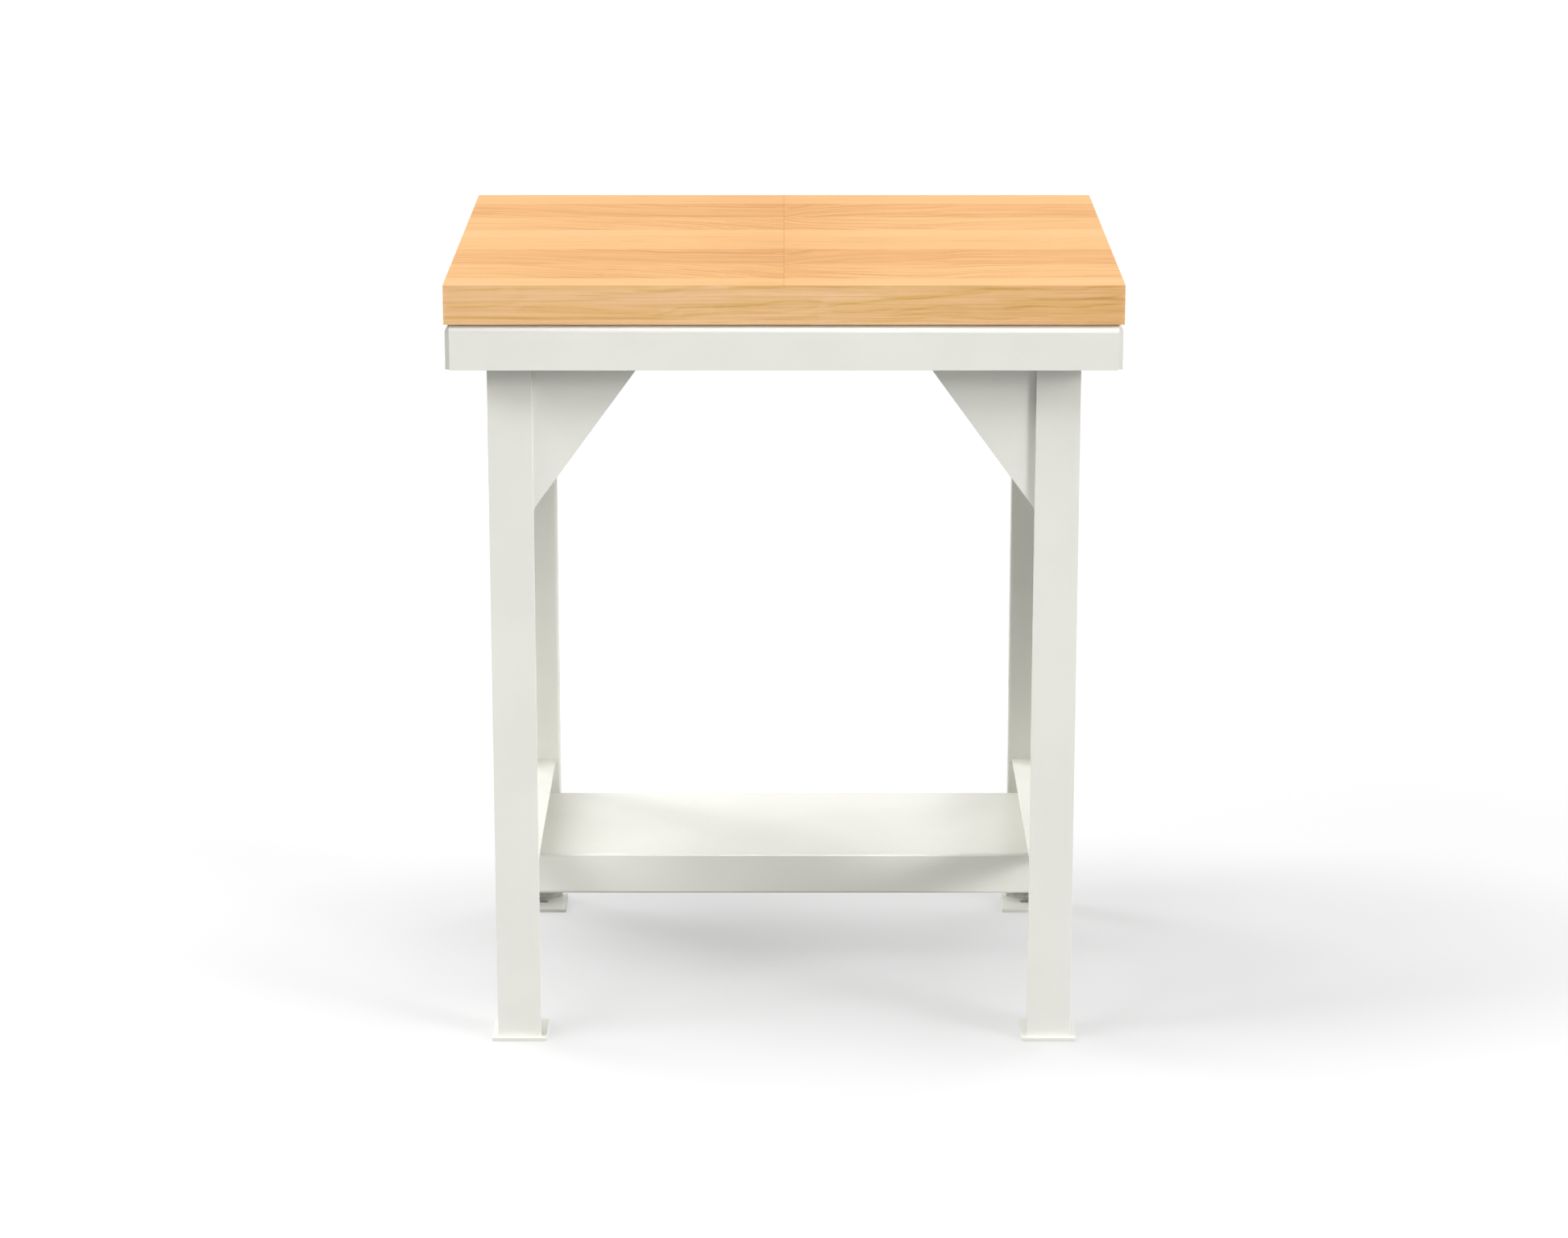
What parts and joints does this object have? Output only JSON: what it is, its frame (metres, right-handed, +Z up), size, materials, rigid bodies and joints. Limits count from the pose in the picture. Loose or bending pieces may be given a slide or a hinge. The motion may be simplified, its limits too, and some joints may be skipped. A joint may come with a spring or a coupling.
{
  "type": "butcher block table",
  "caption": "Free-standing work table: thick wood block screwed down on a folded steel pan, angle legs with gussets and foot plates, and a low half shelf at the rear.",
  "frame": {"origin": "on the floor, under the middle of the table", "axes": "+Z up; the table's front faces -Y; +X to the right of someone standing in front of it"},
  "size_m": [0.762, 0.6096, 0.9096],
  "materials": {
    "block_wood": "oiled hardwood, satin",
    "frame_paint": "smooth powder coat, satin",
    "screw_steel": "zinc plated"
  },
  "bodies": {
    "root": {"block_stave_left_1": "block_wood", "block_stave_left_2": "block_wood", "block_stave_left_3": "block_wood", "block_stave_left_4": "block_wood", "block_stave_left_5": "block_wood", "block_stave_left_6": "block_wood", "block_stave_left_7": "block_wood", "block_stave_left_8": "block_wood", "block_stave_right_1": "block_wood", "block_stave_right_2": "block_wood", "block_stave_right_3": "block_wood", "block_stave_right_4": "block_wood", "block_stave_right_5": "block_wood", "block_stave_right_6": "block_wood", "block_stave_right_7": "block_wood", "block_stave_right_8": "block_wood", "foot_plate_front_left": "frame_paint", "foot_plate_front_right": "frame_paint", "foot_plate_rear_left": "frame_paint", "foot_plate_rear_right": "frame_paint", "gusset_front_left": "frame_paint", "gusset_front_right": "frame_paint", "gusset_rear_left": "frame_paint", "gusset_rear_right": "frame_paint", "lag_screws": "screw_steel", "leg_front_left": "frame_paint", "leg_front_right": "frame_paint", "leg_rear_left": "frame_paint", "leg_rear_right": "frame_paint", "shelf": "frame_paint", "side_rail_left": "frame_paint", "side_rail_right": "frame_paint", "top_pan": "frame_paint", "washers": "screw_steel"}
  },
  "joints": []
}
